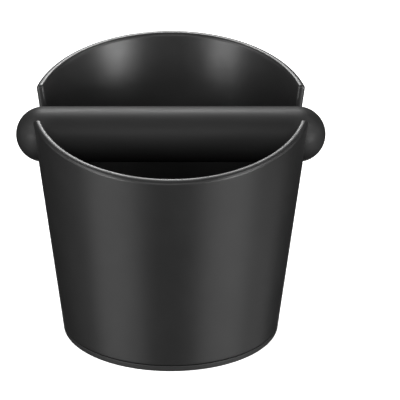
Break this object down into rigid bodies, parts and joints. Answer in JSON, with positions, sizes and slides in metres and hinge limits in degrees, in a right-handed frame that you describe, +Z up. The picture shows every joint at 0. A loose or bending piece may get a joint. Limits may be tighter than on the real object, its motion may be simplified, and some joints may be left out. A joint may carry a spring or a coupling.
{
  "type": "espresso knock box",
  "caption": "Tapered round knock box with a slanted rim, a rubber base ring and a lift-out rubber-covered knock bar lying in open U notches.",
  "frame": {"origin": "middle of the object's outline on the surface that the base ring stands on; the bucket's own axis stands 2 mm in front of it, because the high back of the rim reaches further out than the low front", "axes": "+Z up; +X to the right along the knock bar, seen from the low front; +Y to the high back of the rim"},
  "size_m": [0.1518, 0.1364, 0.1371],
  "materials": {
    "bucket_plastic": "satin black moulded ABS with a very fine grain",
    "base_rubber": "matt black thermoplastic rubber",
    "bar_rubber": "matt black moulded rubber with a soft sheen",
    "core_steel": "drawn stainless tube",
    "plug_nylon": "natural moulded nylon"
  },
  "bodies": {
    "box": {"bucket": "bucket_plastic", "base_ring": "base_rubber"},
    "bar_core": {"bar_core_tube": "core_steel", "bar_core_plug_left": "plug_nylon", "bar_core_plug_right": "plug_nylon"},
    "bar_sleeve": {"bar_sleeve": "bar_rubber"}
  },
  "joints": [
    {"name": "bar_lift", "type": "slide", "parent": "box", "child": "bar_core", "axis": [0, 0, 1], "range_m": [0, 0.06]},
    {"name": "bar_roll", "type": "hinge", "parent": "bar_core", "child": "bar_sleeve", "pos_m": [0, -0.00202, 0.1019], "axis": [1, 0, 0], "continuous": true}
  ]
}
